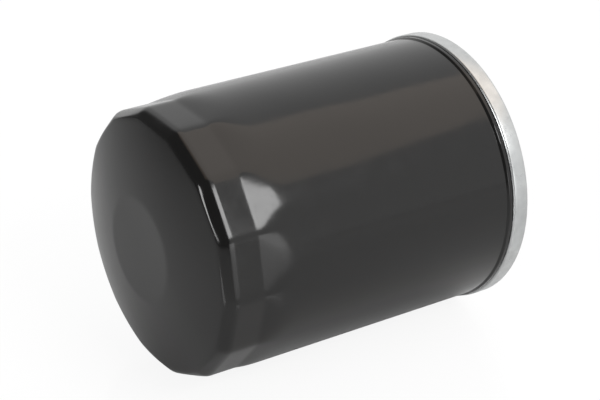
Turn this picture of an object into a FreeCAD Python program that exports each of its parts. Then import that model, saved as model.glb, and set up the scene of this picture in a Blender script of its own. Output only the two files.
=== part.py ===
import FreeCAD, Part
import math
import os

# Spin-on oil filter, lying on its side.
# Millimetres. The filter's axis is Y. The origin is the centre of the mouth of the
# threaded hole, on the outer face of the tapping plate. +Y points out of the threaded
# end towards the engine, -Y towards the domed end, and +Z is up.

# ---- driving dimensions -------------------------------------------------------------
CAN_RADIUS = 38.0            # outside of the can's plain wall
CAN_LENGTH = 101.0           # from the outer end of the rolled seam to the flat crown
CAN_SHEET = 0.4              # drawn steel of the can
LID_SHEET = 0.55             # zinc-plated steel of the seaming lid
CAP_SHEET = 0.5              # tinplate of the end caps and the centre tube
SEAM_TOP = 4.8               # outer end of the seam above the tapping plate's face
SEAM_HEIGHT = 5.0            # height of the rolled seam
SEAM_PROUD = 0.83            # seam's outside beyond the can's wall
KNUCKLE = 4.2                # outside radius where the wall turns into the dome
DOME_RADIUS = 123.0          # outside radius of the shallow dome
CROWN_FLAT = 14.5            # radius of the flat spot in the middle of the dome
FLAT_COUNT = 14              # wrench flats around the domed end
FLAT_SINK = 1.2              # depth of a flat's middle below the can's wall
FLAT_LENGTH = 7.6            # parallel part of a flat, back from the knuckle
FLAT_RUNOUT = 6.0            # length of the slope from a flat's end up to the wall
FLAT_PHASE = 100.0           # degrees from +X to one ridge between flats
THREAD_RADIUS = 9.525        # major radius of the 3/4 inch thread
THREAD_PITCH = 25.4 / 16     # sixteen threads to the inch
THREAD_LENGTH = 10.5         # length of the threaded collar
COLLAR_WALL = 2.4            # metal around the thread
PLATE_THICKNESS = 3.2        # tapping plate
INLET_COUNT = 8              # oil inlet holes in the tapping plate
INLET_RADIUS = 2.9           # of each hole
GASKET_HEIGHT = 6.2          # sealing ring, before it is squeezed
GASKET_WIDTH = 4.6           # across its section
GASKET_INSET = 2.4           # from the can's outside to the gasket's outside
HUB_WALL = 2.4               # rubber around the threaded collar
LIP_THICKNESS = 1.1          # rubber flap over the inlet holes
PAPER = 0.7                  # thickness of the pleated paper
PLEAT_PITCH = 1.85           # spacing of the pleats at the centre tube
POTTING = 2.0                # adhesive that bonds the paper to each end cap
OIL_ROOM = 2.95              # oil space between the element and the flats
DOME_ROOM = 15.0             # from the upper end cap to the crown, for the spring
BYPASS_LENGTH = 14.0         # bypass valve housing
BYPASS_SEAT = 7.0            # radius of the valve's opening
STEM_RADIUS = 1.6            # riveted pin of the bypass valve
HOUSING_WALL = 0.6           # sheet of the bypass valve housing
HOUSING_FLANGE = 3.4         # how far the housing's flange reaches under the cap
BYPASS_WIRE = 0.5            # radius of the bypass spring's wire
BYPASS_COIL = 4.4            # radius of its coil
BYPASS_TURNS = 5             # whole turns
ELEMENT_WIRE = 1.1           # radius of the conical spring's wire
ELEMENT_TURNS = 3
TUBE_HOLE = 1.9              # radius of the holes in the centre tube
TUBE_ROWS = 9
TUBE_HOLES_AROUND = 12
RUNNING_GAP = 0.06           # radial clearance where one piece slides in another
FIT_GAP = 0.05               # clearance between pieces that are only assembled
CONTACT_GAP = 0.02           # left between pieces that press on each other

# ---- sizes worked out from them ------------------------------------------------------
THREAD_MINOR = THREAD_RADIUS - 0.5413 * THREAD_PITCH
COLLAR_RADIUS = THREAD_RADIUS + COLLAR_WALL
HUB_RADIUS = COLLAR_RADIUS + FIT_GAP + HUB_WALL
NECK_RADIUS = HUB_RADIUS + FIT_GAP + CAP_SHEET
TUBE_INNER = NECK_RADIUS + FIT_GAP
TUBE_OUTER = TUBE_INNER + CAP_SHEET
CAN_INNER = CAN_RADIUS - CAN_SHEET
FLAT_DISTANCE = CAN_RADIUS - FLAT_SINK
CROWN_Y = SEAM_TOP - CAN_LENGTH
SEAM_BOTTOM = SEAM_TOP - SEAM_HEIGHT
CHUCK_WALL = CAN_RADIUS - 1.565           # middle of the lid's inner seam wall
SKIRT = CAN_RADIUS + SEAM_PROUD - LID_SHEET / 2
SEAM_STEP = (SKIRT - CHUCK_WALL) / 4      # the seam is five thicknesses of sheet
GASKET_OUTER = CAN_RADIUS - GASKET_INSET
GASKET_INNER = GASKET_OUTER - GASKET_WIDTH
RIDGE_OUTER = GASKET_INNER - 0.5          # outside of the ridge that locates the gasket
RIDGE_WIDTH = 2.0
RIDGE_HEIGHT = 3.4
LID_OPENING = RIDGE_OUTER - RIDGE_WIDTH - 1.8
PLATE_RADIUS = CHUCK_WALL - LID_SHEET / 2 - 0.6
FLANGE_RADIUS = HUB_RADIUS + 1.6          # rubber flange that the lower cap presses on
INLET_CIRCLE = (FLANGE_RADIUS + LID_OPENING) / 2
LIP_RADIUS = INLET_CIRCLE + INLET_RADIUS + 2.2
CAP_RADIUS = FLAT_DISTANCE - CAN_SHEET - OIL_ROOM
LOWER_CAP_Y = -(THREAD_LENGTH + 2.5)
UPPER_CAP_Y = CROWN_Y + CAN_SHEET + DOME_ROOM
MEDIA_INNER = TUBE_OUTER + 0.7
MEDIA_OUTER = CAP_RADIUS - CAP_SHEET - 0.4
PLEAT_COUNT = round(2 * math.pi * MEDIA_INNER / PLEAT_PITCH)
HOUSING_RADIUS = TUBE_INNER - 0.7
SEAT_Y = UPPER_CAP_Y - 2.0                # inner face of the bypass valve's seat
SEAL_THICKNESS = 1.2
POPPET_THICKNESS = 1.0
POPPET_RADIUS = BYPASS_SEAT + 3.0
RETAINER_Y = SEAT_Y + BYPASS_LENGTH - 1.4
RETAINER_THICKNESS = 0.8


# ---- shapes in the plane of the axis -------------------------------------------------
def unit(vector):
    return vector.multiply(1.0 / vector.Length)


def rounded_outline(corners):
    """Closed wire through corners (radius, y, corner rounding)."""
    points = [FreeCAD.Vector(r, y, 0) for r, y, _ in corners]
    pieces = []
    for index, (_, _, rounding) in enumerate(corners):
        here = points[index]
        before = unit(points[index - 1] - here)
        after = unit(points[(index + 1) % len(points)] - here)
        if rounding <= 0:
            pieces.append((here, here, here))
            continue
        half_angle = before.getAngle(after) / 2
        reach = rounding / math.tan(half_angle)
        centre = here + unit(before + after) * (rounding / math.sin(half_angle))
        middle = centre + unit(here - centre) * rounding
        pieces.append((here + before * reach, middle, here + after * reach))
    edges = []
    for index, (start, middle, end) in enumerate(pieces):
        if start.distanceToPoint(end) > 1e-6:
            edges.append(Part.Arc(start, middle, end).toShape())
        following = pieces[(index + 1) % len(pieces)][0]
        if end.distanceToPoint(following) > 1e-6:
            edges.append(Part.makeLine(end, following))
    return Part.Wire(edges)


def revolved(outline):
    """Solid of revolution about the filter's axis."""
    if isinstance(outline, list):
        outline = rounded_outline(outline)
    face = Part.Face(outline)
    return face.revolve(FreeCAD.Vector(0, 0, 0), FreeCAD.Vector(0, 1, 0), 360)


def ring(inner, outer, low, high, rounding=0.0):
    """Plain ring between two radii and two positions along the axis."""
    corners = [(inner, low), (outer, low), (outer, high), (inner, high)]
    return revolved([(r, y, rounding) for r, y in corners])


def disc(radius, low, high):
    """Plain disc or rod on the filter's axis."""
    direction = FreeCAD.Vector(0, 1, 0)
    return Part.makeCylinder(radius, high - low, FreeCAD.Vector(0, low, 0), direction)


def sheet_ring(path, thickness, bend):
    """Pressed sheet revolved about the axis: path is the middle line of its section."""
    points = [FreeCAD.Vector(r, y, 0) for r, y in path]
    sides = {1: [], -1: []}
    for index, here in enumerate(points):
        before = unit(here - points[index - 1]) if index else None
        after = unit(points[index + 1] - here) if index + 1 < len(points) else None
        before = before or after
        after = after or before
        left = unit(FreeCAD.Vector(-before.y - after.y, before.x + after.x, 0))
        stretch = 1 / max(math.cos(before.getAngle(after) / 2), 0.2)
        turn = before.cross(after).z
        for side, corners in sides.items():
            corner = here + left * (side * thickness / 2 * stretch)
            if abs(turn) < 1e-6:
                rounding = 0.0
            else:
                rounding = bend - math.copysign(thickness / 2, turn) * side
            corners.append((corner.x, corner.y, rounding))
    return revolved(sides[1] + sides[-1][::-1])


def around_axis(shape, count, phase=0.0):
    """Copies of a shape spaced evenly around the filter's axis."""
    copies = []
    for index in range(count):
        copy = shape.copy()
        angle = phase + index * 360.0 / count
        copy.rotate(FreeCAD.Vector(0, 0, 0), FreeCAD.Vector(0, 1, 0), -angle)
        copies.append(copy)
    return copies


def coil(wire_radius, narrow_radius, wide_radius, narrow_y, wide_y, turns):
    """Round wire wound about the axis, widening from its narrow end to its wide end."""
    height = abs(wide_y - narrow_y)
    spread = math.degrees(math.atan2(wide_radius - narrow_radius, height))
    helix = Part.makeHelix(height / turns, height, narrow_radius, spread)
    section = Part.Wire(Part.makeCircle(wire_radius, FreeCAD.Vector(narrow_radius, 0, 0),
                                        FreeCAD.Vector(0, 1, 0)))
    shape = Part.Wire(helix).makePipeShell([section], True, True)
    towards = FreeCAD.Vector(0, math.copysign(1, wide_y - narrow_y), 0)
    shape.Placement = FreeCAD.Placement(FreeCAD.Vector(0, narrow_y, 0),
                                        FreeCAD.Rotation(FreeCAD.Vector(0, 0, 1), towards))
    return shape


# ---- the can and what closes it -------------------------------------------------------
def can_form(inset):
    """Solid form of the can's closed end and wall, drawn in by the sheet's thickness."""
    radius = CAN_RADIUS - inset
    knuckle = KNUCKLE - inset
    dome = DOME_RADIUS - inset
    crown = CROWN_Y + inset
    open_end = SEAM_BOTTOM - 3.0
    axis_to_knuckle = radius - knuckle
    dome_centre = CROWN_Y + math.sqrt(DOME_RADIUS ** 2 - CROWN_FLAT ** 2)
    knuckle_y = dome_centre - math.sqrt((dome - knuckle) ** 2 - axis_to_knuckle ** 2)
    lean = math.asin(axis_to_knuckle / (dome - knuckle))
    join = FreeCAD.Vector(dome * math.sin(lean), dome_centre - dome * math.cos(lean), 0)
    half = (lean + math.pi / 2) / 2
    flat_lean = math.acos((dome_centre - crown) / dome)
    dome_half = (flat_lean + lean) / 2
    apex = FreeCAD.Vector(0, crown, 0)
    flat_edge = FreeCAD.Vector(dome * math.sin(flat_lean), crown, 0)
    dome_middle = FreeCAD.Vector(dome * math.sin(dome_half),
                                 dome_centre - dome * math.cos(dome_half), 0)
    knuckle_middle = FreeCAD.Vector(axis_to_knuckle + knuckle * math.sin(half),
                                    knuckle_y - knuckle * math.cos(half), 0)
    wall_start = FreeCAD.Vector(radius, knuckle_y, 0)
    wall_end = FreeCAD.Vector(radius, open_end, 0)
    centre_end = FreeCAD.Vector(0, open_end, 0)
    outline = Part.Wire([Part.makeLine(apex, flat_edge),
                         Part.Arc(flat_edge, dome_middle, join).toShape(),
                         Part.Arc(join, knuckle_middle, wall_start).toShape(),
                         Part.makeLine(wall_start, wall_end),
                         Part.makeLine(wall_end, centre_end),
                         Part.makeLine(centre_end, apex)])
    form = revolved(outline)
    cutters = around_axis(flat_cutter(FLAT_DISTANCE - inset, knuckle_y), FLAT_COUNT,
                          FLAT_PHASE + 180.0 / FLAT_COUNT)
    return form.cut(cutters)


def flat_cutter(distance, knuckle_y):
    """What is pressed out of the round wall for one wrench flat, on the +X side."""
    width = 2 * CAN_RADIUS * math.sin(math.pi / FLAT_COUNT) * 1.4
    fade_y = knuckle_y + FLAT_LENGTH
    outside = CAN_RADIUS + 2.0
    slope = FLAT_RUNOUT / FLAT_SINK
    end = CROWN_Y - 1.0
    corners = [FreeCAD.Vector(distance, end, 0), FreeCAD.Vector(distance, fade_y, 0),
               FreeCAD.Vector(outside, fade_y + (outside - distance) * slope, 0),
               FreeCAD.Vector(outside, end, 0)]
    face = Part.Face(Part.makePolygon(corners + corners[:1]))
    face.translate(FreeCAD.Vector(0, 0, -width / 2))
    return face.extrude(FreeCAD.Vector(0, 0, width))


def can_rim():
    """Open end of the can: a small bead, then the folded hook inside the seam."""
    middle = CAN_RADIUS - CAN_SHEET / 2
    body_wall = CHUCK_WALL + SEAM_STEP
    body_hook = CHUCK_WALL + 3 * SEAM_STEP
    bead_y = SEAM_BOTTOM - 0.1 - CAN_SHEET / 2
    hook_y = SEAM_TOP - LID_SHEET - 0.1 - CAN_SHEET / 2
    path = [(middle, SEAM_BOTTOM - 3.0), (middle, SEAM_BOTTOM - 1.9),
            (middle + 0.45, SEAM_BOTTOM - 1.2), (middle + 0.45, bead_y),
            (body_wall, bead_y), (body_wall, hook_y),
            (body_hook, hook_y), (body_hook, SEAM_BOTTOM + 0.95)]
    return sheet_ring(path, CAN_SHEET, 0.3)


def can():
    shell = can_form(0.0).cut(can_form(CAN_SHEET))
    return shell.fuse(can_rim()).removeSplitter()


def seaming_lid():
    """Pressed lid: gasket channel inside, rolled over the can's rim outside."""
    floor = LID_SHEET / 2
    ridge_inner = RIDGE_OUTER - RIDGE_WIDTH + LID_SHEET / 2
    ridge_outer = RIDGE_OUTER - LID_SHEET / 2
    top = SEAM_TOP - LID_SHEET / 2
    hook = CHUCK_WALL + 2 * SEAM_STEP
    path = [(LID_OPENING, floor), (ridge_inner, floor), (ridge_inner, RIDGE_HEIGHT),
            (ridge_outer, RIDGE_HEIGHT), (ridge_outer, floor), (CHUCK_WALL, floor),
            (CHUCK_WALL, top), (SKIRT, top), (SKIRT, SEAM_BOTTOM + LID_SHEET / 2),
            (hook, SEAM_BOTTOM + LID_SHEET / 2), (hook, SEAM_TOP - 1.4)]
    return sheet_ring(path, LID_SHEET, 0.5)


def seam_compound():
    """Sealing compound squeezed between the lid's hook and the can's hook."""
    hook = CHUCK_WALL + 2 * SEAM_STEP
    half_width = LID_SHEET / 2 - CONTACT_GAP
    return ring(hook - half_width, hook + half_width, SEAM_TOP - 1.38, SEAM_TOP - 1.08)


def internal_thread():
    """Helical groove of the threaded hole, running out past both of its ends."""
    depth = THREAD_RADIUS - THREAD_MINOR
    root_half = THREAD_PITCH / 16
    crest_half = root_half + (depth + 0.1) * math.tan(math.radians(30))
    height = THREAD_LENGTH + 3 * THREAD_PITCH
    helix = Part.makeLongHelix(THREAD_PITCH, height, THREAD_RADIUS)
    inner = THREAD_MINOR - 0.1
    section = Part.makePolygon([FreeCAD.Vector(inner, 0, -crest_half),
                                FreeCAD.Vector(THREAD_RADIUS, 0, -root_half),
                                FreeCAD.Vector(THREAD_RADIUS, 0, root_half),
                                FreeCAD.Vector(inner, 0, crest_half),
                                FreeCAD.Vector(inner, 0, -crest_half)])
    groove = Part.Wire(helix).makePipeShell([section], True, True)
    along_axis = FreeCAD.Rotation(FreeCAD.Vector(0, 0, 1), FreeCAD.Vector(0, -1, 0))
    start = FreeCAD.Vector(0, 1.5 * THREAD_PITCH, 0)
    groove.Placement = FreeCAD.Placement(start, along_axis)
    return groove


def tapping_plate():
    """Thick plate with the threaded collar drawn inwards and the ring of inlet holes."""
    plate = revolved([(THREAD_MINOR, -THREAD_LENGTH, 0), (COLLAR_RADIUS, -THREAD_LENGTH, 0.5),
                      (COLLAR_RADIUS, -PLATE_THICKNESS, 0), (PLATE_RADIUS, -PLATE_THICKNESS, 0.6),
                      (PLATE_RADIUS, 0, 0.3), (THREAD_MINOR, 0, 0)])
    hole = Part.makeCylinder(INLET_RADIUS, PLATE_THICKNESS + 2,
                             FreeCAD.Vector(INLET_CIRCLE, -PLATE_THICKNESS - 1, 0),
                             FreeCAD.Vector(0, 1, 0))
    plate = plate.cut(around_axis(hole, INLET_COUNT))
    return plate.cut(internal_thread())


def sealing_gasket():
    base = LID_SHEET + FIT_GAP
    return ring(GASKET_INNER, GASKET_OUTER, base, base + GASKET_HEIGHT, 0.5)


def anti_drain_valve():
    """Rubber valve: a hub on the threaded collar and a flap that covers the inlet holes."""
    face = -PLATE_THICKNESS - FIT_GAP
    hub_inner = COLLAR_RADIUS + FIT_GAP
    root_y = face - 2.0
    flange_y = root_y - 2.4
    return revolved([(hub_inner, -THREAD_LENGTH, 0), (HUB_RADIUS, -THREAD_LENGTH, 0.3),
                     (HUB_RADIUS, flange_y, 0), (FLANGE_RADIUS, flange_y, 0.3),
                     (FLANGE_RADIUS, root_y - LIP_THICKNESS, 0.4),
                     (LIP_RADIUS, face - LIP_THICKNESS * 0.8, 0.2), (LIP_RADIUS, face, 0.2),
                     (LIP_RADIUS - 1.2, face, 0), (FLANGE_RADIUS, root_y, 0.4),
                     (FLANGE_RADIUS - 0.8, face, 0), (hub_inner, face, 0)])


# ---- the filter element -----------------------------------------------------------------
def lower_end_cap():
    """Cap at the threaded end; its neck holds the rubber hub on the collar."""
    neck = HUB_RADIUS + FIT_GAP + CAP_SHEET / 2
    neck_top = -PLATE_THICKNESS - FIT_GAP - 4.4 - FIT_GAP
    path = [(neck, neck_top), (neck, LOWER_CAP_Y), (CAP_RADIUS - CAP_SHEET / 2, LOWER_CAP_Y),
            (CAP_RADIUS - CAP_SHEET / 2, LOWER_CAP_Y - 3.5)]
    return sheet_ring(path, CAP_SHEET, 0.4)


def upper_end_cap():
    """Cap at the domed end, with the opening for the bypass valve."""
    path = [(HOUSING_RADIUS + FIT_GAP, UPPER_CAP_Y),
            (CAP_RADIUS - CAP_SHEET / 2, UPPER_CAP_Y),
            (CAP_RADIUS - CAP_SHEET / 2, UPPER_CAP_Y + 3.5)]
    return sheet_ring(path, CAP_SHEET, 0.4)


def potting(cap_y, towards_media):
    """Adhesive disc between an end cap and the ends of the paper."""
    near = cap_y + towards_media * (CAP_SHEET / 2 + 0.01)
    far = near + towards_media * POTTING
    low, high = sorted((near, far))
    return ring(TUBE_OUTER + FIT_GAP, MEDIA_OUTER + 0.35, low, high)


def media_ends():
    low = UPPER_CAP_Y + CAP_SHEET / 2 + POTTING + CONTACT_GAP
    high = LOWER_CAP_Y - CAP_SHEET / 2 - POTTING - CONTACT_GAP
    return low, high


def folded_outline(tip_radius, tip_half_width, valley_radius, valley_half_width, y):
    """Closed zigzag around the axis with flat tips and flat valleys."""
    pitch = 2 * math.pi / PLEAT_COUNT
    points = []
    for index in range(PLEAT_COUNT):
        tip = index * pitch
        valley = tip + pitch / 2
        for radius, middle, half in ((tip_radius, tip, tip_half_width),
                                     (valley_radius, valley, valley_half_width)):
            for angle in (middle - half / radius, middle + half / radius):
                points.append(FreeCAD.Vector(radius * math.cos(angle), y, radius * math.sin(angle)))
    return Part.makePolygon(points + points[:1])


def pleated_media():
    """Paper folded to and fro between the centre tube and the end caps' rims."""
    low, high = media_ends()
    fold_gap = 0.1
    outside = folded_outline(MEDIA_OUTER, PAPER, MEDIA_INNER + PAPER, fold_gap, low)
    inside = folded_outline(MEDIA_OUTER - PAPER, fold_gap, MEDIA_INNER, PAPER, low)
    band = Part.Face(outside).cut(Part.Face(inside))
    return band.extrude(FreeCAD.Vector(0, high - low, 0))


def media_seam_clip():
    """Folded steel strip that joins the two ends of the paper over one pleat."""
    low, high = media_ends()
    low, high = low + 2.0, high - 2.0
    inside = PAPER + 0.25
    sheet = 0.25
    depth = 5.0
    start = MEDIA_OUTER - depth
    leg_length = depth + 0.03 + sheet
    outer = Part.makeBox(leg_length, high - low, 2 * (inside + sheet),
                         FreeCAD.Vector(start, low, -inside - sheet))
    inner = Part.makeBox(depth + 0.03, high - low, 2 * inside,
                         FreeCAD.Vector(start, low, -inside))
    return outer.cut(inner)


def centre_tube():
    """Perforated tube that keeps the paper from collapsing."""
    low = UPPER_CAP_Y + CAP_SHEET / 2 + CONTACT_GAP
    high = LOWER_CAP_Y - CAP_SHEET / 2 - CONTACT_GAP
    tube = ring(TUBE_INNER, TUBE_OUTER, low, high)
    holes = []
    first = low + POTTING + 4.0
    step = (high - POTTING - 4.0 - first) / (TUBE_ROWS - 1)
    half_turn = 180.0 / TUBE_HOLES_AROUND
    for row in range(TUBE_ROWS):
        start = FreeCAD.Vector(0, first + row * step, 0)
        hole = Part.makeCylinder(TUBE_HOLE, TUBE_OUTER + 1, start, FreeCAD.Vector(1, 0, 0))
        holes += around_axis(hole, TUBE_HOLES_AROUND, half_turn * (row % 2))
    return tube.cut(holes)


# ---- the bypass valve -------------------------------------------------------------------
def bypass_housing():
    """Cup pressed into the upper end cap; the hole in its bottom is the valve's seat."""
    wall = HOUSING_WALL
    inner = HOUSING_RADIUS - wall
    flange = HOUSING_RADIUS + HOUSING_FLANGE
    flange_y = UPPER_CAP_Y - CAP_SHEET / 2 - CONTACT_GAP
    end = SEAT_Y + BYPASS_LENGTH
    return revolved([(BYPASS_SEAT, SEAT_Y - wall, 0.2), (HOUSING_RADIUS, SEAT_Y - wall, 0.5),
                     (HOUSING_RADIUS, flange_y - wall, 0), (flange, flange_y - wall, 0.1),
                     (flange, flange_y, 0.1), (HOUSING_RADIUS, flange_y, 0),
                     (HOUSING_RADIUS, end, 0.1), (inner, end, 0.1), (inner, SEAT_Y, 0.2),
                     (BYPASS_SEAT, SEAT_Y, 0.1)])


def bypass_seal():
    return ring(STEM_RADIUS + CONTACT_GAP, POPPET_RADIUS - 0.4, SEAT_Y, SEAT_Y + SEAL_THICKNESS)


def bypass_poppet():
    low = SEAT_Y + SEAL_THICKNESS
    return ring(STEM_RADIUS + CONTACT_GAP, POPPET_RADIUS, low, low + POPPET_THICKNESS)


def bypass_stem():
    """Riveted pin that carries the valve and runs in the retainer."""
    head = disc(BYPASS_SEAT - 2.0, SEAT_Y - 0.9, SEAT_Y)
    shaft = disc(STEM_RADIUS, SEAT_Y, RETAINER_Y + RETAINER_THICKNESS + 3.0)
    return head.fuse(shaft).removeSplitter()


def bypass_retainer():
    """Plate across the housing's open end: holds the spring and guides the stem."""
    plate_radius = HOUSING_RADIUS - HOUSING_WALL - CONTACT_GAP
    guide_radius = STEM_RADIUS + 1.5
    plate = disc(plate_radius, RETAINER_Y, RETAINER_Y + RETAINER_THICKNESS)
    guide = disc(guide_radius, RETAINER_Y, RETAINER_Y + RETAINER_THICKNESS + 1.6)
    window_circle = (plate_radius + guide_radius) / 2
    window_radius = (plate_radius - guide_radius) / 2 - 1.9
    window = Part.makeCylinder(window_radius, 2, FreeCAD.Vector(window_circle, RETAINER_Y - 0.5, 0),
                               FreeCAD.Vector(0, 1, 0))
    bore = disc(STEM_RADIUS + RUNNING_GAP, RETAINER_Y - 1, RETAINER_Y + 5)
    return plate.fuse(guide).cut(around_axis(window, 4) + [bore]).removeSplitter()


def bypass_spring():
    """Coil spring between the poppet and the retainer."""
    low = SEAT_Y + SEAL_THICKNESS + POPPET_THICKNESS + BYPASS_WIRE + CONTACT_GAP
    high = RETAINER_Y - BYPASS_WIRE - CONTACT_GAP
    return coil(BYPASS_WIRE, BYPASS_COIL, BYPASS_COIL, low, high, BYPASS_TURNS)


def element_spring():
    """Conical spring that presses the element against the threaded end."""
    wire = ELEMENT_WIRE
    wide = HOUSING_RADIUS + HOUSING_FLANGE + wire + 0.4
    narrow = wide * 0.6
    cap_end = UPPER_CAP_Y - CAP_SHEET / 2 - wire - CONTACT_GAP
    dome_end = CROWN_Y + CAN_SHEET + wire + 0.1
    return coil(wire, narrow, wide, dome_end, cap_end, ELEMENT_TURNS)


NODES = {
    "can": can,
    "seaming_lid": seaming_lid,
    "seam_compound": seam_compound,
    "tapping_plate": tapping_plate,
    "sealing_gasket": sealing_gasket,
    "anti_drain_valve": anti_drain_valve,
    "lower_end_cap": lower_end_cap,
    "upper_end_cap": upper_end_cap,
    "lower_potting": lambda: potting(LOWER_CAP_Y, -1),
    "upper_potting": lambda: potting(UPPER_CAP_Y, 1),
    "pleated_media": pleated_media,
    "media_seam_clip": media_seam_clip,
    "centre_tube": centre_tube,
    "bypass_housing": bypass_housing,
    "bypass_seal": bypass_seal,
    "bypass_poppet": bypass_poppet,
    "bypass_stem": bypass_stem,
    "bypass_retainer": bypass_retainer,
    "bypass_spring": bypass_spring,
    "element_spring": element_spring,
}


def main():
    os.makedirs("parts", exist_ok=True)
    for name, make in NODES.items():
        shape = make()
        solid = shape if shape.ShapeType == "Solid" else Part.makeCompound(shape.Solids)
        solid.exportStep("parts/%s.step" % name)
        print(name, len(shape.Solids), shape.isValid(), round(shape.Volume, 1))


main()
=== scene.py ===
import math

import bmesh
import bpy
from bpy.props import FloatProperty, FloatVectorProperty, IntProperty, PointerProperty
from bpy.types import Operator, Panel, PropertyGroup
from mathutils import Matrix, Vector


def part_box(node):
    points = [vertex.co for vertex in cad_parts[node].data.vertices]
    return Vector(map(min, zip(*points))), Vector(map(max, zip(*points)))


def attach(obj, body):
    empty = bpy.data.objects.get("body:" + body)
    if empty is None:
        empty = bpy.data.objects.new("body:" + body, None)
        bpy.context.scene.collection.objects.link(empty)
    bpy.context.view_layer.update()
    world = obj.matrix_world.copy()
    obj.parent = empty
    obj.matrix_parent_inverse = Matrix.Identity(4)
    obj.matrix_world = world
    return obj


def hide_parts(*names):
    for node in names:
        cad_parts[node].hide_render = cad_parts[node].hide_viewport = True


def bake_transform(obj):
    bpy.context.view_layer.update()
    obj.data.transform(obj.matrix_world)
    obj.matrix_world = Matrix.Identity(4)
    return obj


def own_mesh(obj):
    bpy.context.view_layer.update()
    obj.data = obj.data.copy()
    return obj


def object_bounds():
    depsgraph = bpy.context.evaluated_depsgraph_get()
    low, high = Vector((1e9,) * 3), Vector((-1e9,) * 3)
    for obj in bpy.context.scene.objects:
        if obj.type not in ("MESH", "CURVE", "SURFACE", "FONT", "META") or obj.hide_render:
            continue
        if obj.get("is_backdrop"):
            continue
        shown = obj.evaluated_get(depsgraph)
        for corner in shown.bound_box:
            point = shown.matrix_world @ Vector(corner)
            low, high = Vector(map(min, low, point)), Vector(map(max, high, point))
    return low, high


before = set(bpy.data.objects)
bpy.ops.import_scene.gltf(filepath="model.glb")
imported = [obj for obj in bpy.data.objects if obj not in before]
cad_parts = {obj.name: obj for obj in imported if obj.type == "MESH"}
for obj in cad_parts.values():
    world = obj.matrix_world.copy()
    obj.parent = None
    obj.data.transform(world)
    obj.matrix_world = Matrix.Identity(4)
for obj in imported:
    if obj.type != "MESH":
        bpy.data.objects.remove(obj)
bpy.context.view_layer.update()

bl_info = {
    "name": "Spin-on Oil Filter",
    "version": (1, 0, 0),
    "blender": (4, 5, 0),
    "location": "3D View > Sidebar > Oil Filter",
    "description": "Builds a spin-on oil filter, inside and out, around its CAD frame",
    "category": "Mesh",
}

# The filter's axis is Y. The engine is towards +Y, the domed end towards -Y, and +Z is up.
MM = 0.001
BOX = {name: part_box(name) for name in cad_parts}
BODY = "filter_body"
CROWN_Y = BOX["can"][0].y
SEAM_TOP = BOX["seaming_lid"][1].y
SEAM_BOTTOM = BOX["seaming_lid"][0].y
GASKET_OUTER = BOX["sealing_gasket"][1].x
COLLAR_RADIUS = 11.925 * MM  # outside of the threaded collar
FIT_GAP = 0.05 * MM          # between pieces that are only assembled
SHEET_GAP = 0.1 * MM         # between the folded sheets of the seam
ARC_STEPS = 6                # steps in a rounded corner
FLAT_STEPS = 20              # steps across one wrench flat
SKIN_RINGS = (50, 24)        # rings from the crown to the knuckle, outside and inside
PLEAT_STEPS = 16             # steps along one pleat


def linear(code):
    """Linear red, green and blue of an sRGB hex colour."""
    channels = [int(code[i:i + 2], 16) / 255 for i in (1, 3, 5)]
    return [c / 12.92 if c <= 0.04045 else ((c + 0.055) / 1.055) ** 2.4 for c in channels]


def size(name, description, default):
    return FloatProperty(name=name, description=description, default=default,
                         unit="LENGTH", subtype="DISTANCE", precision=5)


def colour(name, description, code):
    return FloatVectorProperty(name=name, description=description, default=linear(code),
                               subtype="COLOR", size=3, min=0.0, max=1.0)


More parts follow.
